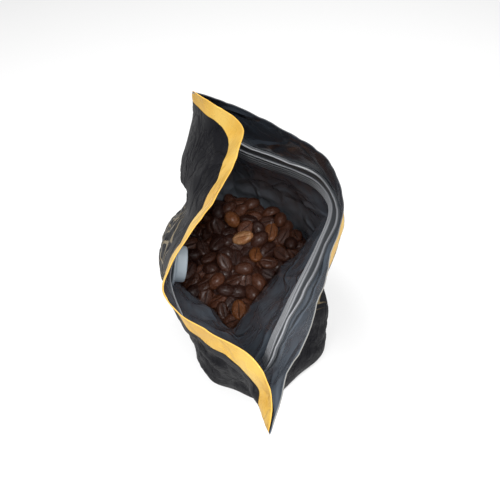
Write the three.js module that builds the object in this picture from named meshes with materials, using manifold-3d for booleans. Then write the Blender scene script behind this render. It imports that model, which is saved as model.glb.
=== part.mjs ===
// An open stand-up coffee bag of black film, about half full of roasted beans.
// Millimetres, +Z up, the bag stands on the floor at z = 0.
// Its mouth gapes as a long diamond: the two panels meet in the near and the far tip,
// and each panel is bent at its middle, to the right and to the left.

import * as THREE from 'three';
import { mergeVertices } from 'three/addons/utils/BufferGeometryUtils.js';
import Module from 'manifold-3d';

const bagHeight = 240;
const wall = 0.8; // stands in for film of about 0.15 mm
const gap = 0.35; // between the film and what lies on it
const columns = 64; // steps round the bag
const sideSteps = 48; // points kept for each side of a ring
const seamGap = 0.4; // left where two pieces of film meet
const seamReach = 2; // how far a cut runs past the film
const seamDepth = 1.7; // how far it runs in
const seamPlaces = [0.12, 1.75]; // the front panel wraps both tips and ends just past them
const bottomHeight = 8; // the bottom's turned-up edge

const beanLevel = 121;
const beanLength = 11.5;
const beanWidth = 8.2;
const beanDepth = 6;
const beanCount = 84;

const zipHeight = 9;
const zipBacking = 0.7;
const zipRidge = 1.1;
const zipGap = 0.8;
const zipSteps = 36;

const valveRadius = 9;
const valveFlange = 1.2;
const valveBodyRadius = 6.5;
const valveDepth = 4.6;

// Each ring lists the outline of the bag at one height, side by side. A side starts at its
// own corner: near runs to the right corner, right to the far one, far to the left one.
const rings = [
  {
    z: 0,
    near: [[19, -59], [45, -41]], right: [[65, -21], [49, 14]],
    far: [[19, 38], [-12, 16]], left: [[-31, -23], [-24, -43], [-5, -51]],
  },
  {
    z: 5,
    near: [[19, -62], [47, -42]], right: [[69, -21], [52, 15]],
    far: [[20, 42], [-12, 20]], left: [[-34, -24], [-26, -46], [-6, -54]],
  },
  {
    z: 60,
    near: [[8, -55], [38, -30]], right: [[63, -5], [46, 27]],
    far: [[12, 50], [-22, 36]], left: [[-42, -4], [-31, -36], [-13, -49]],
  },
  {
    z: 125,
    near: [[-4, -41], [19, -12]], right: [[44, 17], [30, 38]],
    far: [[-4, 54], [-36, 40]], left: [[-48, 8], [-34, -18], [-18, -31]],
  },
  {
    z: 170,
    near: [[5, -70], [18, -53], [31, -34]], right: [[46, 4], [31, 23], [13, 33]],
    far: [[-6, 45], [-25, 46], [-32, 28], [-27, 16], [-35, -1]],
    left: [[-38, -20], [-29, -47], [-12, -64]],
  },
  {
    z: 205,
    near: [[9, -86], [17, -72], [25, -55], [35, -35]],
    right: [[42, -15], [37, -3], [27, 4], [16, 9], [1, 17]],
    far: [[-19, 35], [-25, 14], [-22, 0], [-20, -18]], left: [[-27, -48], [-19, -68], [-7, -77]],
  },
  {
    z: bagHeight,
    near: [[11, -109], [17, -97], [24, -80], [31, -60]],
    right: [[37, -39], [36, -27], [31, -17], [23, -10], [4, 4]],
    far: [[-17, 15], [-7, 6], [3, -5], [3, -13], [-4, -35]],
    left: [[-19, -71], [-12, -81], [2, -89]],
  },
];
const beanRing = 3;
const zipRing = 5;

const sides = ['near', 'right', 'far', 'left'];

const film = new THREE.MeshStandardMaterial({ color: 0x191a1d, roughness: 0.42, metalness: 0.1 });
const zipPlastic = new THREE.MeshStandardMaterial({ color: 0xa9abb0, roughness: 0.4 });
const valvePlastic = new THREE.MeshStandardMaterial({ color: 0xa6b5c0, roughness: 0.45 });
const roastedBean = new THREE.MeshStandardMaterial({ color: 0x3c2318, roughness: 0.5 });

// One number from 0 to 1 after another, the same on every run.
function seededRandom(seed) {
  let state = seed;
  return () => {
    state = (state * 1664525 + 1013904223) % 4294967296;
    return state / 4294967296;
  };
}

// Each side of a ring as points spaced evenly along one smooth closed curve.
function ringSides(ring) {
  const points = [];
  const corners = [];
  for (const side of sides) {
    corners.push(points.length);
    for (const [x, y] of ring[side]) points.push(new THREE.Vector3(x, y, ring.z));
  }
  corners.push(points.length);
  const closed = new THREE.CatmullRomCurve3(points, true);
  return sides.map((side, k) => {
    const trace = [];
    for (let i = 0; i <= sideSteps; i += 1) {
      const index = THREE.MathUtils.lerp(corners[k], corners[k + 1], i / sideSteps);
      trace.push(closed.getPoint((index / points.length) % 1));
    }
    return new THREE.CatmullRomCurve3(trace).getSpacedPoints(sideSteps);
  });
}

const ringTraces = rings.map(ringSides);

// u runs from 0 to 4 round a ring, a whole number at each corner.
function ringPoint(trace, u) {
  const turn = ((u % 4) + 4) % 4;
  const side = Math.floor(turn);
  const place = (turn - side) * sideSteps;
  const index = Math.min(Math.floor(place), sideSteps - 1);
  return trace[side][index].clone().lerp(trace[side][index + 1], place - index);
}

// A point of the outer face. level runs from 0, the floor, to the last ring, the rim.
function outerPoint(u, level) {
  const column = new THREE.CatmullRomCurve3(ringTraces.map((trace) => ringPoint(trace, u)));
  return column.getPoint(Math.min(level / (rings.length - 1), 1));
}

function outwardNormal(u, level) {
  const step = 0.02;
  const low = Math.max(level - step, 0);
  const high = Math.min(level + step, rings.length - 1);
  const along = outerPoint(u + step, level).sub(outerPoint(u - step, level));
  const upward = outerPoint(u, high).sub(outerPoint(u, low));
  return along.cross(upward).normalize();
}

// A point at a given depth inside the outer face.
function innerPoint(u, level, depth) {
  return outerPoint(u, level).addScaledVector(outwardNormal(u, level), -depth);
}

function gridRow(level, depth, count = columns) {
  const row = [];
  for (let i = 0; i < count; i += 1) row.push(innerPoint((4 * i) / count, level, depth));
  return row;
}

function centreOf(row) {
  const centre = new THREE.Vector3();
  for (const point of row) centre.add(point);
  return centre.divideScalar(row.length);
}

// A closed body from rows of equal length: each row is a loop, and the first and the last are
// closed by the given triangles of their points, or by a fan round their centre.
function loftedBody(rows, endFaces = null) {
  const positions = [];
  const add = (a, b, c) => positions.push(...a.toArray(), ...b.toArray(), ...c.toArray());
  const count = rows[0].length;
  for (let r = 0; r + 1 < rows.length; r += 1) {
    for (let i = 0; i < count; i += 1) {
      const j = (i + 1) % count;
      add(rows[r][i], rows[r][j], rows[r + 1][j]);
      add(rows[r][i], rows[r + 1][j], rows[r + 1][i]);
    }
  }
  const first = rows[0];
  const last = rows[rows.length - 1];
  if (endFaces) {
    for (const [a, b, c] of endFaces) {
      add(first[a], first[c], first[b]);
      add(last[a], last[b], last[c]);
    }
  } else {
    for (let i = 0; i < count; i += 1) {
      const j = (i + 1) % count;
      add(centreOf(first), first[j], first[i]);
      add(centreOf(last), last[i], last[j]);
    }
  }
  const geometry = new THREE.BufferGeometry();
  geometry.setAttribute('position', new THREE.Float32BufferAttribute(positions, 3));
  return mergeVertices(geometry, 0.001);
}

const wasm = await Module();
wasm.setup();

function toSolid(source) {
  const bare = source.clone();
  bare.deleteAttribute('normal');
  bare.deleteAttribute('uv');
  const merged = mergeVertices(bare, 0.001);
  return new wasm.Manifold(new wasm.Mesh({
    numProp: 3,
    vertProperties: new Float32Array(merged.attributes.position.array),
    triVerts: new Uint32Array(merged.index.array),
  }));
}

function fromSolid(solid) {
  const mesh = solid.getMesh();
  const geometry = new THREE.BufferGeometry();
  geometry.setAttribute('position', new THREE.Float32BufferAttribute(mesh.vertProperties, 3));
  geometry.setIndex(Array.from(mesh.triVerts));
  return geometry;
}

// The film as one shell: up the outer face, over the rim and down the inner face.
function shellSolid() {
  const levels = [0, 1, 1.35, 1.7, 2, 2.35, 2.7, 3, 3.3, 3.65, 4, 4.35, 4.7, 5, 5.35, 5.7, 6];
  const outer = levels.map((level) => gridRow(level, 0));
  const inner = levels.slice(1).map((level) => gridRow(level, wall));
  const floorRow = gridRow(1, wall + 2);
  for (const point of floorRow) point.z = wall;
  return toSolid(loftedBody([...outer, ...inner.reverse(), floorRow]));
}

// A thin upright fin through the film at one seam, square to its outer face.
function seamFin(u) {
  const rows = [];
  for (let level = 1; level <= rings.length - 1; level += 0.25) {
    const corner = outerPoint(u, level);
    const outward = outwardNormal(u, level).setZ(0).normalize();
    const side = new THREE.Vector3(-outward.y, outward.x, 0);
    const ends = [[-seamDepth, -1], [seamReach, -1], [seamReach, 1], [-seamDepth, 1]];
    rows.push(ends.map(([reach, half]) => (
      corner.clone().addScaledVector(outward, reach).addScaledVector(side, half * seamGap / 2))));
  }
  const past = rows[rows.length - 1].map((point) => point.clone().setZ(bagHeight + seamReach));
  return toSolid(loftedBody([...rows, past]));
}

// The shell falls into the bottom and the two panels, a hair apart at their seams.
function filmPieces() {
  const bottomCut = new THREE.BoxGeometry(400, 400, seamGap);
  bottomCut.translate(0, 0, bottomHeight);
  const above = new THREE.BoxGeometry(400, 400, 2 * bagHeight);
  above.translate(0, 0, bottomHeight + bagHeight);
  const [nearFin, farFin] = seamPlaces.map(seamFin);
  const fins = nearFin.add(farFin).intersect(toSolid(above));
  const cut = shellSolid().subtract(toSolid(bottomCut)).subtract(fins);
  const middleOf = (solid) => {
    const { min, max } = solid.boundingBox();
    return min.map((value, axis) => (value + max[axis]) / 2);
  };
  const largest = cut.decompose().sort((a, b) => b.volume() - a.volume()).slice(0, 3);
  const [bottom, ...panels] = largest.sort((a, b) => middleOf(a)[2] - middleOf(b)[2]);
  const [front, back] = panels.sort((a, b) => middleOf(a)[0] - middleOf(b)[0]);
  return { bottom, front, back };
}

// The uneven top of the heap: highest a little off its middle, with low waves.
function heapHeight(x, y) {
  const crown = 6 * Math.exp(-((x + 4) ** 2 + (y - 2) ** 2) / 1400);
  const waves = 1.2 * Math.sin(x / 7) * Math.cos(y / 9 + 0.6);
  return beanLevel - 8 + crown + waves;
}

// The room inside the film, up to the shoulder of the bag.
function cavityGeometry(top) {
  const levels = [1, 1.5, 2, 2.4, 2.8, 3, 3.3, top];
  const rows = levels.map((level) => gridRow(level, wall + gap));
  const floorRow = gridRow(1, wall + gap + 2);
  for (const point of floorRow) point.z = wall + gap;
  return loftedBody([floorRow, ...rows]);
}

// What the bag is filled with, below the beans that show.
function heapCore() {
  const levels = [1, 2, 2.5, 2.86];
  const inset = wall + gap + 1;
  const rows = levels.map((level) => gridRow(level, inset, columns / 2));
  const floorRow = gridRow(1, inset + 2, columns / 2);
  for (const point of floorRow) point.z = wall + gap;
  const edge = rows[rows.length - 1];
  const middle = centreOf(edge);
  const tops = [0.92, 0.6, 0.3].map((share) => edge.map((point) => {
    const place = middle.clone().lerp(point, share);
    place.z = Math.max(heapHeight(place.x, place.y), point.z);
    return place;
  }));
  return toSolid(loftedBody([floorRow, ...rows, ...tops]));
}

function beanSolid(x, y, random) {
  const bean = new THREE.SphereGeometry(0.5, 6, 3);
  const size = 0.9 + 0.2 * random();
  bean.scale(beanLength * size, beanWidth * size, beanDepth * size);
  bean.rotateX(0.9 * (random() - 0.5));
  bean.rotateY(0.9 * (random() - 0.5));
  bean.rotateZ(2 * Math.PI * random());
  bean.translate(x, y, heapHeight(x, y) + 1 + 2.2 * random());
  return toSolid(bean);
}

// Beans are dropped at random places, each at least most of a width from the others.
function beanPlaces(random) {
  const row = gridRow(beanRing, wall + gap + beanWidth / 3);
  const box = new THREE.Box3().setFromPoints(row);
  const inside = (x, y) => row.reduce((odd, a, i) => {
    const b = row[(i + 1) % row.length];
    const crosses = (a.y > y) !== (b.y > y)
      && x < ((b.x - a.x) * (y - a.y)) / (b.y - a.y) + a.x;
    return crosses ? !odd : odd;
  }, false);
  const places = [];
  for (let tries = 0; tries < 6000 && places.length < beanCount; tries += 1) {
    const x = THREE.MathUtils.lerp(box.min.x, box.max.x, random());
    const y = THREE.MathUtils.lerp(box.min.y, box.max.y, random());
    const free = places.every(([px, py]) => Math.hypot(px - x, py - y) > beanWidth);
    if (free && inside(x, y)) places.push([x, y]);
  }
  return places;
}

function beansGeometry() {
  const random = seededRandom(11);
  let heap = heapCore();
  for (const [x, y] of beanPlaces(random)) heap = heap.add(beanSolid(x, y, random));
  const trimmed = heap.intersect(toSolid(cavityGeometry(3.7))).decompose();
  const [largest] = trimmed.sort((a, b) => b.volume() - a.volume());
  return fromSolid(largest);
}

// One half of the press-to-close zipper: a flat strip with two ridges, along the inner face.
function zipGeometry(fromU, toU) {
  const half = zipHeight / 2;
  const ridges = zipBacking + zipRidge;
  const section = [
    [-half, 0], [half, 0], [half, zipBacking],
    [2.6, zipBacking], [2.6, ridges], [1.2, ridges], [1.2, zipBacking],
    [-1.2, zipBacking], [-1.2, ridges], [-2.6, ridges], [-2.6, zipBacking],
    [-half, zipBacking],
  ].reverse();
  const outline = section.map(([rise, depth]) => new THREE.Vector2(rise, depth));
  const endFaces = THREE.ShapeUtils.triangulateShape(outline, []).map(([a, b, c]) => [a, c, b]);
  const levelPerMm = 1 / 36;
  const rows = [];
  for (let step = 0; step <= zipSteps; step += 1) {
    const u = THREE.MathUtils.lerp(fromU, toU, step / zipSteps);
    rows.push(section.map(([rise, depth]) => (
      innerPoint(u, zipRing + rise * levelPerMm, wall + zipGap + depth))));
  }
  return loftedBody(rows, endFaces);
}

// The one-way valve on the inner face of the front panel, a stepped disc with a rounded lip.
function valveMesh() {
  const profile = [
    [0, 0], [valveRadius, 0], [valveRadius, valveFlange], [valveBodyRadius, valveFlange + 0.3],
    [valveBodyRadius, valveDepth - 0.8], [valveBodyRadius - 0.8, valveDepth],
    [valveBodyRadius - 2.2, valveDepth], [valveBodyRadius - 2.8, valveDepth - 0.9],
    [0, valveDepth - 0.9],
  ].map(([radius, height]) => new THREE.Vector2(radius, height));
  const geometry = new THREE.LatheGeometry(profile, 32);
  geometry.deleteAttribute('normal');
  geometry.deleteAttribute('uv');
  const closed = mergeVertices(geometry, 0.001);
  const mesh = new THREE.Mesh(closed, valvePlastic);
  const place = { u: 3.0, level: 4.5, depth: 2.6 };
  const inward = outwardNormal(place.u, place.level).negate();
  mesh.position.copy(innerPoint(place.u, place.level, wall + place.depth));
  mesh.quaternion.setFromUnitVectors(new THREE.Vector3(0, 1, 0), inward);
  mesh.name = 'valve';
  return mesh;
}

function named(name, geometry, material) {
  const mesh = new THREE.Mesh(geometry, material);
  mesh.name = name;
  return mesh;
}

const bag = new THREE.Group();
const { bottom, front, back } = filmPieces();
bag.add(named('bottom', fromSolid(bottom), film));
bag.add(named('panel_back', fromSolid(back), film));
bag.add(named('panel_front', fromSolid(front), film));
bag.add(named('zip_back', zipGeometry(0.1, 1.9), zipPlastic));
bag.add(named('zip_front', zipGeometry(2.1, 3.9), zipPlastic));
bag.add(valveMesh());
bag.add(named('coffee_beans', beansGeometry(), roastedBean));

// The origin is on the floor under the middle of the bag's box.
const box = new THREE.Box3().setFromObject(bag);
bag.position.set(-(box.min.x + box.max.x) / 2, -(box.min.y + box.max.y) / 2, -box.min.z);

export default bag;
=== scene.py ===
import math
import random

import bmesh
import bpy
import numpy as np
from mathutils import Matrix, Vector, kdtree, noise


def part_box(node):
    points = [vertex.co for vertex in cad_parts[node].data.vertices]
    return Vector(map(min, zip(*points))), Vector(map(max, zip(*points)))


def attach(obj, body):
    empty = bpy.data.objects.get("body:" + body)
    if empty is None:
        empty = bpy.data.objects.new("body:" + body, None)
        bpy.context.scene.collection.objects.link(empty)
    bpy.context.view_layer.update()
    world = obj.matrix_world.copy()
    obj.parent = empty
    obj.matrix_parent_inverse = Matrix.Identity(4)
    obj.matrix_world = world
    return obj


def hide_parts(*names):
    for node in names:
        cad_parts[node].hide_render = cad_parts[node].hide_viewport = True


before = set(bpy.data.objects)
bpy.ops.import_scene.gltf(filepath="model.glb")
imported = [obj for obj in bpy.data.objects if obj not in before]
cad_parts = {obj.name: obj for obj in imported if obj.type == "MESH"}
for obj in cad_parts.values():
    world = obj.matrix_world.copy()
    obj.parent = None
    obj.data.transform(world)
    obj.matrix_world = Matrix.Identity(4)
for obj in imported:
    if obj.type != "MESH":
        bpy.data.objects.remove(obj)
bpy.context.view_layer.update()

mm = 0.001

# The bag's outline at each height, side by side, in millimetres. Only the rim's differs from the
# CAD source. near runs to the right corner, right to the far one and far to the left one.
bagRings = [
    dict(z=0, near=[(19, -59), (45, -41)], right=[(65, -21), (49, 14)],
         far=[(19, 38), (-12, 16)], left=[(-31, -23), (-24, -43), (-5, -51)]),
    dict(z=5, near=[(19, -62), (47, -42)], right=[(69, -21), (52, 15)],
         far=[(20, 42), (-12, 20)], left=[(-34, -24), (-26, -46), (-6, -54)]),
    dict(z=60, near=[(8, -55), (38, -30)], right=[(63, -5), (46, 27)],
         far=[(12, 50), (-22, 36)], left=[(-42, -4), (-31, -36), (-13, -49)]),
    dict(z=125, near=[(-4, -41), (19, -12)], right=[(44, 17), (30, 38)],
         far=[(-4, 54), (-36, 40)], left=[(-48, 8), (-34, -18), (-18, -31)]),
    dict(z=170, near=[(5, -70), (18, -53), (31, -34)], right=[(46, 4), (31, 23), (13, 33)],
         far=[(-6, 45), (-25, 46), (-32, 28), (-27, 16), (-35, -1)],
         left=[(-38, -20), (-29, -47), (-12, -64)]),
    dict(z=205, near=[(9, -86), (17, -72), (25, -55), (35, -35)],
         right=[(42, -15), (37, -3), (27, 4), (16, 9), (1, 17)],
         far=[(-19, 35), (-25, 14), (-22, 0), (-20, -18)],
         left=[(-27, -48), (-19, -68), (-7, -77)]),
    dict(z=240, near=[(11, -109), (13.3, -103), (16, -96), (24, -79), (31, -60)],
         right=[(37, -39), (36, -27), (31, -17), (23, -10), (4, 4)],
         far=[(-17, 15), (-7, 6), (3, -5), (3, -13), (-4, -35)],
         left=[(-19, -71), (-7, -82.5), (5.2, -88.6), (10.3, -97), (11.9, -102.6)]),
]
sideNames = ("near", "right", "far", "left")
topLevel = len(bagRings) - 1
sideSteps = 88


# Smooth curves through points

def lengthOf(vectors):
    return np.linalg.norm(vectors, axis=-1, keepdims=True)


def splineAt(points, share, closed=False):
    count = len(points)
    place = share * (count if closed else count - 1)
    first = int(math.floor(place))
    t = place - first
    if closed:
        first %= count
    elif first >= count - 1:
        first, t = count - 2, 1.0
    p1, p2 = points[first], points[(first + 1) % count]
    p0 = points[first - 1] if closed or first > 0 else 2 * p1 - p2
    p3 = points[(first + 2) % count] if closed or first + 2 < count else 2 * p2 - p1
    d0, d1, d2 = (np.sqrt(np.maximum(lengthOf(b - a), 1e-6)) for a, b in ((p0, p1), (p1, p2), (p2, p3)))
    slope1 = ((p1 - p0) / d0 - (p2 - p0) / (d0 + d1) + (p2 - p1) / d1) * d1
    slope2 = ((p2 - p1) / d1 - (p3 - p1) / (d1 + d2) + (p3 - p2) / d2) * d1
    square, cube = t * t, t * t * t
    return ((2 * cube - 3 * square + 1) * p1 + (cube - 2 * square + t) * slope1
            + (3 * square - 2 * cube) * p2 + (cube - square) * slope2)


def ringTrace(ring):  # each side of one ring as evenly spaced points
    points, corners = [], []
    for side in sideNames:
        corners.append(len(points))
        points += [(x, y, ring["z"]) for x, y in ring[side]]
    corners.append(len(points))
    points = np.array(points, float)
    trace = []
    for start, end in zip(corners, corners[1:]):
        shares = np.linspace(start, end, 200) / len(points)
        fine = np.array([splineAt(points, share, closed=True) for share in shares])
        walked = np.concatenate([[0], np.cumsum(lengthOf(np.diff(fine, axis=0)))])
        even = np.linspace(0, walked[-1], sideSteps + 1)[:-1]
        trace.append(np.stack([np.interp(even, walked, fine[:, axis]) for axis in range(3)], 1))
    return np.concatenate(trace)


ringTraces = np.array([ringTrace(ring) for ring in bagRings])


def skinRow(level):  # the outer face at one level, from 0 at the floor to the rim
    return splineAt(ringTraces, level / topLevel)


def skinGrid(levels):
    return np.array([skinRow(level) for level in levels])


def normalsOf(grid):  # outward, for rows that run up the bag
    along = np.roll(grid, -1, axis=1) - np.roll(grid, 1, axis=1)
    upward = np.gradient(grid, axis=0)
    across = np.cross(along, upward)
    return across / np.maximum(lengthOf(across), 1e-9)


wholeSkin = skinGrid(np.linspace(1, topLevel, 60))
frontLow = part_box("panel_front")[0]
shift = np.array([frontLow[0] / mm - wholeSkin[..., 0].min(),
                  frontLow[1] / mm - wholeSkin[..., 1].min(), 0])


def toScene(places):  # millimetres of the rings to metres of the frame
    return (np.asarray(places) + shift) * mm


def ease(values, low, high):
    t = np.clip((values - low) / (high - low), 0, 1)
    return t * t * (3 - 2 * t)


def band(values, riseFrom, riseTo, fallFrom, fallTo):  # 1 between the rise and the fall
    return ease(values, riseFrom, riseTo) * (1 - ease(values, fallFrom, fallTo))


def treeOf(places):  # finds the nearest of the given places
    tree = kdtree.KDTree(len(places))
    for index, place in enumerate(places):
        tree.insert(place, index)
    tree.balance()
    return tree


# Mesh helpers

def finished(bm, name, materials, nodes):
    mesh = bpy.data.meshes.new(name)
    for face in bm.faces:
        face.smooth = True
    bm.to_mesh(mesh)
    bm.free()
    piece = bpy.data.objects.new(name, mesh)
    bpy.context.scene.collection.objects.link(piece)
    for material in materials:
        mesh.materials.append(material)
    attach(piece, "root")
    if nodes:
        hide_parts(*nodes)
    return piece


def gridMesh(rows, uvRows=None):
    # A grid, closed around, whose rows follow the given points. uvRows gives the second UV value.
    bm = bmesh.new()
    rowCount, columnCount = rows.shape[:2]
    bmesh.ops.create_grid(bm, x_segments=columnCount, y_segments=rowCount - 1, size=1, calc_uvs=True)
    uvLayer = bm.loops.layers.uv.verify()
    for vert in bm.verts:
        column = round((vert.co.x + 1) / 2 * columnCount)
        row = round((vert.co.y + 1) / 2 * (rowCount - 1))
        if uvRows is not None:
            for loop in vert.link_loops:
                loop[uvLayer].uv = (4 * column / columnCount, uvRows[row][column % columnCount])
        vert.co = rows[row][column % columnCount]
    bmesh.ops.remove_doubles(bm, verts=bm.verts[:], dist=1e-6)
    return bm


# Shader maths

class Wire:
    def __init__(self, shade, socket):
        self.shade = shade
        self.socket = socket

    def maths(self, operation, *others):
        made = self.shade.node("ShaderNodeMath", dict(operation=operation),
                               {index: value for index, value in enumerate((self, *others))})
        return Wire(self.shade, made.outputs[0])

    def __add__(self, other):
        return self.maths("ADD", other)

    __radd__ = __add__

    def __mul__(self, other):
        return self.maths("MULTIPLY", other)

    __rmul__ = __mul__

    def __sub__(self, other):
        return self.maths("SUBTRACT", other)

    def __rsub__(self, other):
        return (self * -1) + other

    def step(self, low, high):  # 0 below low, 1 above high, smooth between
        made = self.shade.node("ShaderNodeMapRange", dict(interpolation_type="SMOOTHSTEP"),
                               {"Value": self, "From Min": low, "From Max": high})
        return Wire(self.shade, made.outputs[0])

    def band(self, riseFrom, riseTo, fallFrom, fallTo):  # 1 between the rise and the fall
        return self.step(riseFrom, riseTo) * (1 - self.step(fallFrom, fallTo))


class Shade:
    def __init__(self, name, **fixed):
        self.material = bpy.data.materials.new(name)
        self.material.use_nodes = True
        self.tree = self.material.node_tree
        self.surface = self.tree.nodes["Principled BSDF"]
        for socket, value in fixed.items():
            self.surface.inputs[socket.replace("_", " ")].default_value = value

    def node(self, kind, settings=None, sockets=None):
        made = self.tree.nodes.new(kind)
        for key, value in (settings or {}).items():
            if key == "stops":
                ramp = made.color_ramp
                while len(ramp.elements) < len(value):
                    ramp.elements.new(0.5)
                for element, (position, colour) in zip(ramp.elements, value):
                    element.position = position
                    element.color = (*colour, 1)
            else:
                setattr(made, key, value)
        for key, value in (sockets or {}).items():
            self.join(value, made.inputs[key])
        return made

    def join(self, value, target):
        if isinstance(value, Wire):
            value = value.socket
        if isinstance(value, bpy.types.NodeSocket):
            self.tree.links.new(value, target)
        else:
            target.default_value = value

    def feed(self, **inputs):
        for socket, value in inputs.items():
            self.join(value, self.surface.inputs[socket.replace("_", " ")])

    def objectPlace(self, scale=(1, 1, 1), turn=(0, 0, 0)):
        source = self.node("ShaderNodeTexCoord")
        mapping = self.node("ShaderNodeMapping", None,
                            {"Vector": source.outputs["Object"], "Scale": scale, "Rotation": turn})
        return mapping.outputs[0]

    def noise(self, vector, scale, detail=3.0, roughness=0.5, distortion=0.0):
        made = self.node("ShaderNodeTexNoise", None, {
            "Vector": vector, "Scale": scale, "Detail": detail, "Roughness": roughness,
            "Distortion": distortion})
        return Wire(self, made.outputs[0])

    def mix(self, factor, low, high):
        made = self.node("ShaderNodeMix", dict(data_type="RGBA"), {0: factor, 6: low, 7: high})
        return Wire(self, made.outputs[2])

    def ramp(self, factor, *stops):
        made = self.node("ShaderNodeValToRGB", dict(stops=stops), {"Fac": factor})
        return Wire(self, made.outputs[0])

    def bump(self, height, strength, distance):
        made = self.node("ShaderNodeBump", None, {
            "Height": height, "Strength": strength, "Distance": distance})
        return made.outputs[0]

    def separate(self, vector):
        made = self.node("ShaderNodeSeparateXYZ", None, {0: vector})
        return [Wire(self, output) for output in made.outputs]


def colour(red, green, blue):
    return (red, green, blue, 1.0)


# Film

film = dict(
    levels=(1.0, 0.06), thickness=0.3, tipFrom=200, tipFade=3.0, tipThinnest=0.1,
    floorShares=(0, 0.35, 0.7, 0.92), floorDrop=0.3, dropUnit=100,
    crumple=2.0, crumpleScale=24, smallCrumple=0.7, slowScale=45, slowRise=2.0,
    pleats=0.3, pleatTurns=42, frontLean=2.6, rightLean=2.8, tipLean=2.4, leanFrom=207, leanLength=35,
    sideLength=55, foldWidth=4.0, foldHeight=2.6, valveHeight=190, valveReach=13,
    # A band says where a value starts and ends its rise, and then its fall. Heights are in
    # millimetres. Sides run around the bag from 0 to 4, and drops are from the rim, in dropUnit.
    bodyRise=(6, 30), bodyFall=(185, 205), cornerRise=(15, 60), cornerFall=(172, 194),
    zipBand=(190, 199, 211, 218), flangeBand=(210, 218, 232, 240), beanBand=(95, 112, 128, 140),
    farLeftSide=(2.02, 2.25, 2.85, 3.0), rightSide=(0.25, 0.45, 0.85, 1.05),
    goldDepth=0.09, goldBlur=0.004, goldNarrowing=0.024, goldWidening=0.035,
    narrowSide=(2.05, 2.2, 2.45, 2.65), wideSide=(2.3, 2.85, 2.85, 3.6),
    contours=150, lineDrop=(0.42, 0.5, 1.6, 1.75), lineNear=(0.45, 0.6, 1.35, 1.45),
    lineLeft=(2.6, 2.75, 3.55, 3.7), flangeShadeSide=(0.7, 1.3, 2.2, 2.5), farWallLightSide=(0.9, 1.2, 2.2, 2.4),
    black=colour(0.009, 0.009, 0.011), softBlack=colour(0.016, 0.016, 0.018),
    gold=colour(0.64, 0.37, 0.06), sheenGold=colour(0.72, 0.48, 0.12), lineGold=colour(0.30, 0.23, 0.12),
    slate=colour(0.105, 0.128, 0.158), slateLight=colour(0.16, 0.185, 0.22),
    # Painted light and shade on the inner film: the paler slate lightens the deep far wall, and the
    # near-black darkens the film above the zipper.
    farWallPaintedLight=colour(0.25, 0.285, 0.33), flange=colour(0.022, 0.026, 0.034),
    edge=colour(0.05, 0.05, 0.052), cutEdge=colour(0.22, 0.215, 0.20),
)


def filmOuterMaterial():
    shade = Shade("film outer", Specular_IOR_Level=0.0, Coat_Roughness=0.3)
    source = shade.node("ShaderNodeTexCoord")
    around, drop, _ = shade.separate(source.outputs["UV"])
    place = shade.objectPlace()
    cloud = shade.noise(place, 38, 4, 0.6)
    sheenStreak = shade.noise(shade.objectPlace((90, 90, 14), (0.3, 0.2, 0)), 1.0, 4, 0.6)
    narrower = around.band(*film["narrowSide"]) * film["goldNarrowing"]
    wider = around.band(*film["wideSide"]) * film["goldWidening"]
    goldMask = 1 - (drop + narrower - wider).step(film["goldDepth"], film["goldDepth"] + film["goldBlur"])
    # Contour lines on the near and left sides
    contour = shade.noise(shade.objectPlace((1, 1, 1), (0.5, 0.2, 0.9)), 26, 1, 0.4)
    lines = (contour * film["contours"]).maths("SINE").step(0.72, 0.95)
    sides = around.band(*film["lineNear"]) + around.band(*film["lineLeft"])
    field = drop.band(*film["lineDrop"]) * sides * lines
    black = shade.mix(cloud.step(0.35, 0.7), film["black"], film["softBlack"])
    printed = shade.mix(field * 0.7, black, film["lineGold"])
    # The paler streaks in the gold are painted sheen.
    gold = shade.mix(sheenStreak.step(0.35, 0.7), film["gold"], film["sheenGold"])
    fine = shade.noise(place, 900, 2)
    stretched = shade.objectPlace((60, 60, 22), (0.3, 0.5, 0.4))
    folds = (shade.noise(stretched, 1.0, 3, 0.5, 0.6) - 0.5).maths("ABSOLUTE")
    smallFolds = (shade.noise(place, 95, 3, 0.5, 0.5) - 0.5).maths("ABSOLUTE")
    height = folds.maths("MINIMUM", 0.06) * 6.0 + smallFolds.maths("MINIMUM", 0.04) * 2.0 + cloud * 0.4
    height = height * (1 - goldMask * 0.7) + fine * 0.02
    shade.feed(Base_Color=shade.mix(goldMask, printed, gold),
               Metallic=cloud.step(0.3, 0.7) * 0.14 + goldMask * 0.16 + field * 0.3 + 0.1,
               Roughness=cloud * 0.2 + 0.17, Coat_Weight=cloud.step(0.4, 0.8) * 0.06 + 0.02,
               Normal=shade.bump(height, 0.8, 0.003))
    return shade.material


def filmInnerMaterial():
    shade = Shade("film inner", Specular_IOR_Level=0.6, Coat_Roughness=0.15)
    place = shade.objectPlace()
    cloud = shade.noise(place, 30, 4, 0.6)
    stretched = shade.objectPlace((34, 14, 26), (0.2, 0.4, 0.7))
    folds = (shade.noise(stretched, 1.0, 1.5, 0.5, 0.4) - 0.5).maths("ABSOLUTE")
    smallFolds = (shade.noise(place, 60, 2, 0.5, 0.4) - 0.5).maths("ABSOLUTE")
    height = cloud * 0.5 - folds.maths("MINIMUM", 0.04) * 8.0 - smallFolds.maths("MINIMUM", 0.02) * 2.0
    around, drop, _ = shade.separate(shade.node("ShaderNodeTexCoord").outputs["UV"])
    # Painted shade: on the right and far sides the film just below the rim, above the zipper, is darkened
    # towards a near-black.
    flange = (1 - drop.step(0.18, 0.34)) * around.band(*film["flangeShadeSide"])
    slate = shade.mix(cloud.step(0.35, 0.7), film["slate"], film["slateLight"])
    # Painted light: below the flange, the far wall deep in the bag is lightened towards a paler slate.
    farWallLightMask = drop.step(0.3, 0.5) * around.band(*film["farWallLightSide"])
    slate = shade.mix(farWallLightMask, slate, film["farWallPaintedLight"])
    shade.feed(Base_Color=shade.mix(flange * 0.85, slate, film["flange"]),
               Roughness=cloud * 0.16 + 0.16, Coat_Weight=cloud * 0.4 + 0.1,
               Normal=shade.bump(height, 1.0, 0.003))
    return shade.material


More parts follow.
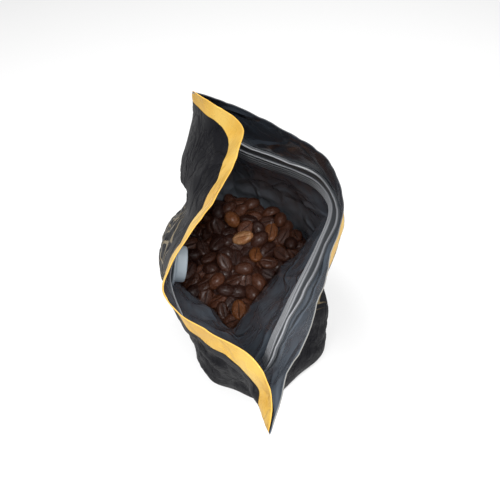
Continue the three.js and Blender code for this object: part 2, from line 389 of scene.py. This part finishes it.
def filmEdgeMaterial():
    shade = Shade("film edge")
    grain = shade.noise(shade.objectPlace(), 400, 2)
    around, _, _ = shade.separate(shade.node("ShaderNodeTexCoord").outputs["UV"])
    pale = (1 - around.step(0.75, 1.0)) * (grain * 0.4 + 0.7)
    back = shade.mix(pale, film["edge"], film["cutEdge"])
    shade.feed(Base_Color=shade.mix(around.step(2.0, 2.02), back, film["gold"]),
               Roughness=grain * 0.2 + 0.35)
    return shade.material


def crease(place, scale, seed):  # sharp folds where the noise changes sign
    value = noise.noise(Vector(place) / scale + Vector((seed, seed * 2, seed * 3)))
    return min(abs(value), 0.35) / 0.35


def filmRelief(grid):
    # How far each point stands off the plain shape, in millimetres.
    z = grid[..., 2]
    around = np.linspace(0, 4, grid.shape[1], endpoint=False)[None, :]
    coarse = np.array([[crease(p, film["crumpleScale"], 3) for p in row] for row in grid])
    finer = np.array([[crease(p, film["crumpleScale"] / 2.6, 7) for p in row] for row in grid])
    slow = np.array([[noise.noise(Vector(p) / film["slowScale"]) for p in row] for row in grid])
    body = ease(z, *film["bodyRise"]) * (1 - 0.6 * ease(z, *film["bodyFall"]))
    relief = body * ((coarse - 0.6) * film["crumple"] + (finer - 0.6) * film["smallCrumple"]
                     + slow * film["slowRise"])
    relief *= 1 - 0.85 * band(z, *film["zipBand"])
    flange = band(z, *film["flangeBand"])
    farLeft = band(around, *film["farLeftSide"])
    pleat = np.sin(around * film["pleatTurns"] + slow * 5) * film["pleats"]
    relief += flange * farLeft * pleat + flange * (1 - farLeft) * slow * 1.2
    beside = (around - 3.0) * film["sideLength"] / film["valveReach"]
    relief *= 1 - np.exp(-beside ** 2 - ((z - film["valveHeight"]) / film["valveReach"]) ** 2)
    lean = np.sin(np.pi * np.clip((z - film["leanFrom"]) / film["leanLength"], 0, 1)) ** 1.5
    frontLean = (ease(around, 3.15, 3.45) * (1 - 0.6 * ease(around, 3.6, 3.85))
                 * (1 - ease(around, 3.9, 3.99)))
    rightLean = band(around, *film["rightSide"])
    tipLean = ease(around, 3.84, 3.95) - (1 - ease(around, 0.03, 0.14))
    relief += lean * (frontLean * film["frontLean"] + rightLean * film["rightLean"]
                      + tipLean * film["tipLean"])
    for corner in (0, 1, 2):
        away = np.abs((around - corner + 2) % 4 - 2) * film["sideLength"]
        fold = (np.exp(-away / film["foldWidth"]) * ease(z, *film["cornerRise"])
                * (1 - ease(z, *film["cornerFall"])))
        relief = relief * (1 - 0.7 * fold) + fold * film["foldHeight"]
    beanSpot = band(z, *film["beanBand"])
    return np.where(relief < 0, relief * (1 - 0.7 * beanSpot), relief)


def thinTips(piece, raised):
    # The wall thins towards both tips, so that its inner face doesn't come through the outer one.
    tips = treeOf([place for column in (0, 2 * sideSteps) for place in toScene(raised[:, column])
                   if place[2] > film["tipFrom"] * mm])
    group = piece.vertex_groups.new(name="wall")
    for vert in piece.data.vertices:
        share = tips.find(vert.co)[2] / mm / film["tipFade"]
        group.add([vert.index], min(1.0, max(film["tipThinnest"], share)), "REPLACE")
    return group.name


def makeFilm():
    start, step = film["levels"]
    levels = np.concatenate([[0, 0.5], np.arange(start, topLevel, step), [topLevel]])
    grid = skinGrid(levels)
    raised = grid + normalsOf(grid) * filmRelief(grid)[..., None]
    drops = (grid[-1, 0, 2] - grid[..., 2]) / film["dropUnit"]
    base = raised[0].mean(axis=0) * (1, 1, 0)
    floorRows = [base + (raised[0] * (1, 1, 0) - base) * share for share in film["floorShares"]]
    rows = np.concatenate([floorRows, raised])
    rows[..., 2] = np.maximum(rows[..., 2], 0)
    floorUvs = np.repeat(drops[:1], len(floorRows), axis=0) + film["floorDrop"]
    bm = gridMesh(toScene(rows), np.concatenate([floorUvs, drops]))
    bmesh.ops.recalc_face_normals(bm, faces=bm.faces[:])
    lowest = min(bm.faces, key=lambda face: face.calc_center_median().z)
    if lowest.normal.z > 0:
        bmesh.ops.reverse_faces(bm, faces=bm.faces[:])
    piece = finished(bm, "film", [filmOuterMaterial(), filmInnerMaterial(), filmEdgeMaterial()],
                     ["bottom", "panel_back", "panel_front"])
    wall = piece.modifiers.new("wall", "SOLIDIFY")
    wall.thickness = film["thickness"] * mm
    wall.offset = -1
    wall.material_offset = 1
    wall.material_offset_rim = 2
    wall.vertex_group = thinTips(piece, raised)
    print("film", len(piece.data.polygons), "faces")
    return raised, levels


# Zipper

zipStrip = dict(
    # Where each half starts and ends around the bag, its height and the level of its middle
    halves=dict(zip_back=(0.045, 1.95, 20, 5.05), zip_front=(2.05, 3.955, 16, 5.06)),
    levelPerMm=1 / 36, reach=0.03, endLength=0.08, sharpAngle=35, steps=170,
    backing=0.4, ridge=0.6, clear=0.45, ridges=(-0.9, -0.6, -0.3, 0.0, 0.3, 0.88), ridgeWidth=0.12,
    # The dark grey is painted shade on the backing and in the grooves, and the light grey is painted light
    # on the ridge tops.
    shadedGrooveGrey=colour(0.075, 0.080, 0.088), litRidgeGrey=colour(0.40, 0.41, 0.43),
)


def zipMaterial():
    shade = Shade("zip plastic", Specular_IOR_Level=0.5)
    place = shade.objectPlace()
    cloud = shade.noise(place, 60, 3)
    depth = Wire(shade, shade.node("ShaderNodeAttribute", dict(attribute_name="depth")).outputs["Fac"])
    # Painted light and shade: the ridge tops, from the depth attribute, take the light grey, and the backing
    # and grooves take the dark grey.
    shade.feed(Base_Color=shade.mix(depth * (cloud * 0.6 + 0.6), zipStrip["shadedGrooveGrey"], zipStrip["litRidgeGrey"]),
               Roughness=cloud * 0.2 + 0.28, Normal=shade.bump(shade.noise(place, 500, 3), 0.15, 0.0004))
    return shade.material


def zipProfile(height):
    half = height / 2
    wide = zipStrip["ridgeWidth"] * half / 2
    profile = [(-half, 0), (-half, zipStrip["backing"])]
    for rise in (share * half for share in zipStrip["ridges"]):
        for offset, depth in ((-wide, 0), (-wide * 0.6, 1), (wide * 0.6, 1), (wide, 0)):
            profile.append((rise + offset, zipStrip["backing"] + depth * zipStrip["ridge"]))
    back = [(share * half, 0) for share in (1, 0.75, 0.5, 0.25, 0, -0.25, -0.5, -0.75)]
    return profile + [(half, zipStrip["backing"])] + back


def filmAt(rows, levels, level):  # the real film just under, at and just over a level
    reach = zipStrip["reach"]
    return np.array([[[np.interp(near, levels, rows[:, column, axis]) for axis in range(3)]
                      for column in range(rows.shape[1])] for near in (level - reach, level, level + reach)])


def makeZip(name, filmRows, levels, material):
    fromU, toU, height, middle = zipStrip["halves"][name]
    profile = zipProfile(height)
    places = np.linspace(fromU, toU, zipStrip["steps"])
    samples = (places % 4) * sideSteps
    crush = ease(np.minimum(places - fromU, toU - places), 0, zipStrip["endLength"])[:, None]
    rows = []
    for rise, depth in profile:
        skin = filmAt(filmRows, levels, middle + rise * zipStrip["levelPerMm"])
        outward = normalsOf(skin)[1]
        inner = skin[1] - outward * zipStrip["clear"]
        turns = np.arange(len(inner) + 1)
        line, direction = (np.stack([np.interp(samples, turns, np.append(values[:, axis], values[0, axis]))
                                     for axis in range(3)], 1) for values in (inner, outward))
        flat = min(depth, zipStrip["backing"])
        rows.append(line - direction * (flat + (depth - flat) * crush))
    strip = np.array(rows).transpose(1, 0, 2)
    bm = gridMesh(toScene(strip))
    nearest = treeOf(toScene(strip).reshape(-1, 3))
    ridgeTops = [float(depth > zipStrip["backing"]) for rise, depth in profile]
    ends = [edge for edge in bm.edges if edge.is_boundary]
    bmesh.ops.holes_fill(bm, edges=ends, sides=0)
    bmesh.ops.recalc_face_normals(bm, faces=bm.faces[:])
    values = [ridgeTops[nearest.find(vert.co)[1] % len(profile)] for vert in bm.verts]
    piece = finished(bm, name + "_strip", [material], [name])
    piece.data.attributes.new("depth", "FLOAT", "POINT").data.foreach_set("value", values)
    piece.data.set_sharp_from_angle(angle=math.radians(zipStrip["sharpAngle"]))


# Valve

valve = dict(
    radius=10.4, body=8.2, depth=6.0, inset=1.9, levels=(4.48, 4.5, 4.52), segments=64, edge=0.15,
    pale=colour(0.66, 0.74, 0.80), shadow=colour(0.54, 0.62, 0.69),
)


def valveMaterial():
    shade = Shade("valve plastic", Specular_IOR_Level=0.5)
    place = shade.objectPlace()
    cloud = shade.noise(place, 90, 3)
    shade.feed(Base_Color=shade.mix(cloud, valve["shadow"], valve["pale"]), Roughness=cloud * 0.15 + 0.38,
               Normal=shade.bump(shade.noise(place, 700, 2), 0.12, 0.0003))
    return shade.material


def makeValve():
    low, high = (np.array(corner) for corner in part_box("valve"))
    middle = Vector((low + high) / 2)
    leftCorner = 3 * sideSteps
    inward = Vector(-normalsOf(skinGrid(valve["levels"]))[1][leftCorner])
    bm = bmesh.new()
    radius, body, depth = valve["radius"], valve["body"], valve["depth"]
    profile = [(0.05, 0), (radius - 0.3, 0), (radius, 0.3), (radius, 0.8),
               (radius - 0.4, 1.1), (body + 0.6, 1.3), (body, 1.8), (body, depth - 0.9),
               (body - 0.3, depth - 0.25), (body - 0.9, depth), (body - 1.8, depth),
               (body - 2.2, depth - 0.4), (body - 2.4, depth - 1.1), (2.0, depth - 1.2),
               (1.7, depth - 0.7), (0.9, depth - 0.6), (0.05, depth - 0.6)]
    verts = [bm.verts.new((x * mm, 0, z * mm)) for x, z in profile]
    edges = [bm.edges.new(pair) for pair in zip(verts, verts[1:])]
    bmesh.ops.spin(bm, geom=verts + edges, cent=(0, 0, 0), axis=(0, 0, 1), angle=2 * math.pi,
                   steps=valve["segments"], use_merge=True)
    bmesh.ops.remove_doubles(bm, verts=bm.verts[:], dist=1e-6)
    bmesh.ops.holes_fill(bm, edges=[edge for edge in bm.edges if edge.is_boundary], sides=0)
    bmesh.ops.recalc_face_normals(bm, faces=bm.faces[:])
    turn = Vector((0, 0, 1)).rotation_difference(inward).to_matrix().to_4x4()
    seat = middle - inward * ((depth / 2 - valve["inset"]) * mm)
    bmesh.ops.transform(bm, matrix=Matrix.Translation(seat) @ turn, verts=bm.verts[:])
    piece = finished(bm, "degassing_valve", [valveMaterial()], ["valve"])
    edge = piece.modifiers.new("edges", "BEVEL")
    edge.width = valve["edge"] * mm
    edge.segments = 2
    edge.limit_method = "ANGLE"


# Beans

beans = dict(
    length=12.9, width=9.4, dome=4.7, flat=1.9, groove=1.6, count=235, seed=5,
    level=121, edgeDip=8, crown=6.0, crownPlace=(-4, 2), crownSpread=1400,
    settle=160, radius=4.25, fall=0.35, push=0.32, dropHeight=14, sink=3.0,
    slices=(96, 144, 6), topSlice=120, startClear=5.5, wallClear=5.6, clear=0.9, sliceHeight=3,
    flatUpShare=0.58, leans=(0.34, 0.28), sizes=(0.88, 1.08), lengths=(0.93, 1.07), widths=(0.94, 1.04),
    tanSpot=(2, 10), rustSpots=[(-1, 35), (11, 2), (19, 24), (-3, -26)], spotReach=7, tanTone=0.97,
    dark=colour(0.032, 0.010, 0.006), brown=colour(0.120, 0.040, 0.018), tan=colour(0.46, 0.24, 0.110),
    # The last two colours are painted shade: a near-black for each bean's groove, and one for the hidden
    # beans seen through the gaps.
    rust=colour(0.30, 0.100, 0.028), seam=colour(0.010, 0.004, 0.003), core=colour(0.012, 0.006, 0.004),
)


def heapHeight(x, y):  # the uneven top of the heap, in millimetres of the rings
    crownX, crownY = beans["crownPlace"]
    crown = beans["crown"] * math.exp(-((x - crownX) ** 2 + (y - crownY) ** 2) / beans["crownSpread"])
    return beans["level"] - beans["edgeDip"] + crown + 1.2 * math.sin(x / 7) * math.cos(y / 9 + 0.6)


def beanMesh():
    # Poles at the ends of the bean, so that one meridian runs down the middle of its flat side.
    bm = bmesh.new()
    bmesh.ops.create_uvsphere(bm, u_segments=20, v_segments=13, radius=1)
    bmesh.ops.rotate(bm, cent=(0, 0, 0), verts=bm.verts[:], matrix=Matrix.Rotation(math.pi / 2, 3, "Y"))
    # Meridians near the seam, in degrees from it, move closer, so that the groove is narrow.
    squeeze = {0: 0.0, 18: 5.5, 36: 13.0, 54: 42.0}
    grooveLayer = bm.verts.layers.float.new("groove")
    for vert in bm.verts:
        x, y, z = vert.co
        ring = math.hypot(y, z)
        angle = math.degrees(math.atan2(y, -z))
        turned = math.copysign(squeeze.get(round(abs(angle)), abs(angle)), angle)
        y, z = ring * math.sin(math.radians(turned)), -ring * math.cos(math.radians(turned))
        inGroove = ring > 0.2 and round(abs(angle)) == 0
        z = z * beans["dome"] if z > 0 else -beans["flat"] * min(1.0, abs(z) * 1.35) * (1 - 0.12 * ring)
        if inGroove:
            z += beans["groove"] * ease(ring, 0.15, 0.6)
            vert[grooveLayer] = 1.0
        bend = 0.35 * math.sin(x * 2.4) if z < 0 and abs(turned) < 25 else 0
        taper = 1 - 0.06 * x
        vert.co = (x * beans["length"] / 2, y * beans["width"] / 2 * taper + bend, z)
    mesh = bpy.data.meshes.new("bean shape")
    bm.to_mesh(mesh)
    bm.free()
    return mesh


def innerOutline(rows, z):  # the film at one height
    columns = rows.shape[1]
    outline = np.empty((columns, 2))
    for column in range(columns):
        for axis in range(2):
            outline[column, axis] = np.interp(z, rows[:, column, 2], rows[:, column, axis])
    return outline


def keepInside(points, rows, margin):
    # Moves the points that touch the film back inside it, level by level.
    kept = points.copy()
    heights = np.round(points[:, 2] / beans["sliceHeight"]) * beans["sliceHeight"]
    for height in np.unique(heights):
        chosen = np.nonzero(heights == height)[0]
        outline = innerOutline(rows, height)
        span = np.roll(outline, -1, axis=0) - outline
        offset = kept[chosen, None, :2] - outline
        share = np.clip((offset * span).sum(2) / np.maximum((span * span).sum(1), 1e-9), 0, 1)
        away = offset - span * share[..., None]
        nearest = np.hypot(away[..., 0], away[..., 1]).argmin(axis=1)
        edge = span[nearest] / np.maximum(lengthOf(span[nearest]), 1e-9)
        inward = np.stack([-edge[:, 1], edge[:, 0]], 1)
        depth = (away[np.arange(len(chosen)), nearest] * inward).sum(1)
        kept[chosen, :2] += inward * np.maximum(margin - depth, 0)[:, None]
    return kept


def settleBeans(rng, rows):
    # Round stand-ins fall, push each other apart and are kept inside the film.
    low, high, step = beans["slices"]
    outlines = {z: innerOutline(rows, z)[::5] for z in range(low, high + 1, step)}
    row = outlines[beans["topSlice"]]
    places = []
    while len(places) < beans["count"]:
        x = rng.uniform(row[:, 0].min(), row[:, 0].max())
        y = rng.uniform(row[:, 1].min(), row[:, 1].max())
        if insideBy(row, x, y, beans["startClear"]) is None:
            places.append([x, y, heapHeight(x, y) + rng.uniform(0, beans["dropHeight"])])
    places = np.array(places)
    apart = 2 * beans["radius"]
    for turn in range(beans["settle"]):
        places[:, 2] -= beans["fall"]
        tree = treeOf(places)
        pushes = np.zeros_like(places)
        for index, place in enumerate(places):
            for other, otherIndex, distance in tree.find_range(place, apart):
                if otherIndex != index and distance > 1e-6:
                    away = (place - np.array(other)) / distance
                    pushes[index] += away * (apart - distance) * beans["push"]
        places += pushes
        for index, (x, y, z) in enumerate(places):
            level = min(max(int(round(z / step)) * step, low), high)
            moved = insideBy(outlines[level], x, y, beans["wallClear"])
            if moved is not None:
                places[index, :2] = moved
            places[index, 2] = max(z, heapHeight(*places[index, :2]) - beans["sink"])
    print("beans settled, highest at", round(places[:, 2].max(), 1), "mm")
    return places


def insideBy(outline, x, y, margin):
    # None where the point lies inside the outline by the margin, else the nearest such place.
    following = np.roll(outline, -1, axis=0)
    span = following - outline
    offset = np.array([x, y]) - outline
    share = np.clip((offset * span).sum(1) / np.maximum((span * span).sum(1), 1e-9), 0, 1)
    feet = outline + span * share[:, None]
    away = np.array([x, y]) - feet
    distances = np.hypot(away[:, 0], away[:, 1])
    nearest = int(distances.argmin())
    edge = span[nearest] / max(np.hypot(*span[nearest]), 1e-9)
    inward = np.array([-edge[1], edge[0]])
    depth = float(away[nearest] @ inward)
    if depth >= margin:
        return None
    return np.array([x, y]) + inward * (margin - depth)


def beanMaterial():
    shade = Shade("roasted bean", Specular_IOR_Level=0.36, Coat_Roughness=0.28)
    tone = shade.node("ShaderNodeAttribute", dict(attribute_name="tone"))
    pick, groove, rust = shade.separate(tone.outputs["Vector"])
    place = shade.objectPlace()
    mottle = shade.noise(place, 260, 4, 0.6)
    skin = shade.noise(shade.objectPlace((1, 1, 1), (0.4, 0.9, 0.2)), 900, 3, 0.6)
    roast = shade.ramp(pick + (mottle - 0.5) * 0.28, (0.0, beans["dark"][:3]), (0.75, beans["brown"][:3]),
                       (0.93, beans["rust"][:3]), (1.0, beans["tan"][:3]))
    reddish = shade.mix(rust * 0.6, roast, beans["rust"])
    # Painted shade: the groove down the flat side is darkened almost to black.
    seam = shade.mix(groove.step(0.25, 0.8) * 0.95, reddish, beans["seam"])
    shade.feed(Base_Color=seam, Roughness=mottle * 0.2 + groove * 0.4 + 0.28,
               Coat_Weight=mottle * 0.5 * (1 - groove),
               Normal=shade.bump(skin * 0.35 + mottle * 0.65, 0.9, 0.0028))
    return shade.material


def topBean(places, spot):  # the highest bean near a spot
    near = [index for index, (x, y, z) in enumerate(places)
            if math.hypot(x - spot[0], y - spot[1]) < beans["spotReach"]]
    return max(near, key=lambda index: places[index][2])


def makeBeans(filmRows):
    rng = random.Random(beans["seed"])
    shape = beanMesh()
    places = settleBeans(rng, filmRows)
    tanBean = topBean(places, beans["tanSpot"])
    rustBeans = [topBean(places, spot) for spot in beans["rustSpots"]]
    bm = bmesh.new()
    tones = []
    for number, (x, y, z) in enumerate(places):
        start = len(bm.verts)
        bm.from_mesh(shape)
        bm.verts.ensure_lookup_table()
        new = bm.verts[start:]
        flatUp = rng.random() < beans["flatUpShare"] or number == tanBean
        spin = Matrix.Rotation(rng.uniform(0, 2 * math.pi), 4, "Z")
        leanX, leanY = (Matrix.Rotation(rng.gauss(0, spread), 4, axis)
                        for spread, axis in zip(beans["leans"], "XY"))
        flip = Matrix.Rotation(math.pi, 4, "X") if flatUp else Matrix.Identity(4)
        size = rng.uniform(*beans["sizes"])
        length = size * rng.uniform(*beans["lengths"])
        width = size * rng.uniform(*beans["widths"])
        turned = spin @ (leanX @ leanY) @ flip @ Matrix.Diagonal((length, width, size, 1))
        seat = Matrix.Translation(Vector(toScene((x, y, z))))
        bmesh.ops.transform(bm, matrix=seat @ turned @ Matrix.Scale(mm, 4), verts=new)
        pick = rng.random() ** 1.6 * 0.72
        if number == tanBean:
            pick = beans["tanTone"]
        tones.append((pick, 1.0 if number in rustBeans else 0.0, len(new)))
    groove = bm.verts.layers.float["groove"]
    grooves = [vert[groove] for vert in bm.verts]
    points = np.array([vert.co for vert in bm.verts]) / mm - shift
    for vert, place in zip(bm.verts, toScene(keepInside(points, filmRows, beans["clear"]))):
        vert.co = place
    piece = finished(bm, "beans", [beanMaterial()], ["coffee_beans"])
    layer = piece.data.attributes.new("tone", "FLOAT_VECTOR", "POINT")
    index = 0
    values = []
    for pick, rust, count in tones:
        values += [component for k in range(count) for component in (pick, grooves[index + k], rust)]
        index += count
    layer.data.foreach_set("vector", values)
    print("beans", len(places), "pieces", len(piece.data.polygons), "faces")


core = dict(top=2.84, rows=24, inset=2.2, clear=1.2, sink=4.2, rimSink=4, footHeight=1.4,
            topShares=(0.97, 0.9, 0.8, 0.68, 0.55, 0.42, 0.28, 0.14, 0.0), footShares=(0.0, 0.4, 0.8))


def makeCore(filmRows):
    # What fills the bag below the beans that show. It is near-black, mottled with the darkest roast tone, as
    # painted shade where it shows between the beans.
    grid = skinGrid(np.linspace(1, core["top"], core["rows"]))[:, ::2]
    inset = grid - normalsOf(grid) * core["inset"]
    edge = inset[-1]
    middle = edge.mean(axis=0)
    tops = []
    for share in core["topShares"]:
        places = middle + (edge - middle) * share
        places[:, 2] = [max(heapHeight(x, y) - core["sink"], edge[k, 2] - core["rimSink"])
                        for k, (x, y) in enumerate(places[:, :2])]
        tops.append(places)
    foot = inset[0].mean(axis=0)
    feet = [foot + (inset[0] - foot) * share for share in core["footShares"]]
    for row in feet:
        row[:, 2] = core["footHeight"]
    rows = np.concatenate([feet, inset, tops])
    rows = keepInside(rows.reshape(-1, 3), filmRows, core["clear"]).reshape(rows.shape)
    bm = gridMesh(toScene(rows))
    bmesh.ops.recalc_face_normals(bm, faces=bm.faces[:])
    shade = Shade("painted shade bean core")
    mottle = shade.noise(shade.objectPlace(), 120, 4)
    # Painted shade: near-black mottled with the darkest roast tone.
    shade.feed(Base_Color=shade.mix(mottle, beans["core"], beans["dark"]), Roughness=mottle * 0.3 + 0.5,
               Normal=shade.bump(mottle, 0.6, 0.003))
    finished(bm, "bean_core", [shade.material], [])
    print("painted shade bean core")


# Studio

studio = dict(
    elevation=60, focalPixels=400, framePixels=500, sensor=36, eye=(6.25, -118.5, 345.3),
    aim=(0, 0, 0.1), skyStrength=0.4, floorSize=3, floor=colour(0.72, 0.72, 0.72),
    # Place in metres, size and power of each light
    lights=dict(key=((-0.45, -0.25, 1.25), 0.45, 10), fill=((0.5, 0.3, 1.2), 0.5, 6),
                front=((0.08, -0.5, 1.25), 0.35, 12)),
)


def makeCamera():
    data = bpy.data.cameras.new("camera")
    data.sensor_width = studio["sensor"]
    data.lens = studio["focalPixels"] / studio["framePixels"] * data.sensor_width
    data.clip_start = 0.01
    camera = bpy.data.objects.new("camera", data)
    camera.location = Vector(toScene(studio["eye"]))
    camera.rotation_euler = (math.radians(90 - studio["elevation"]), 0, 0)
    bpy.context.scene.collection.objects.link(camera)
    bpy.context.scene.camera = camera


def makeLight(name, place, size, power):
    data = bpy.data.lights.new(name, "AREA")
    data.size = size
    data.energy = power
    light = bpy.data.objects.new(name, data)
    light.location = place
    aim = Vector(studio["aim"]) - Vector(place)
    light.rotation_euler = aim.to_track_quat("-Z", "Y").to_euler()
    bpy.context.scene.collection.objects.link(light)


def makeStudio():
    bm = bmesh.new()
    bmesh.ops.create_grid(bm, x_segments=8, y_segments=8, size=studio["floorSize"])
    mesh = bpy.data.meshes.new("floor")
    bm.to_mesh(mesh)
    bm.free()
    floor = bpy.data.objects.new("floor", mesh)
    bpy.context.scene.collection.objects.link(floor)
    shade = Shade("floor", Base_Color=studio["floor"], Roughness=0.8)
    mesh.materials.append(shade.material)
    for name, (place, size, power) in studio["lights"].items():
        makeLight(name, place, size, power)
    world = bpy.data.worlds.new("studio")
    world.use_nodes = True
    background = world.node_tree.nodes["Background"]
    background.inputs["Color"].default_value = colour(1, 1, 1)
    background.inputs["Strength"].default_value = studio["skyStrength"]
    bpy.context.scene.world = world
    bpy.context.scene.view_settings.view_transform = "Standard"


filmRows, filmLevels = makeFilm()
zipPlastic = zipMaterial()
for half in zipStrip["halves"]:
    makeZip(half, filmRows, filmLevels, zipPlastic)
print("zippers", len(zipStrip["halves"]), "strips")
makeValve()
print("valve")
makeCore(filmRows)
makeBeans(filmRows)
makeCamera()
makeStudio()
print("camera, floor and lights")
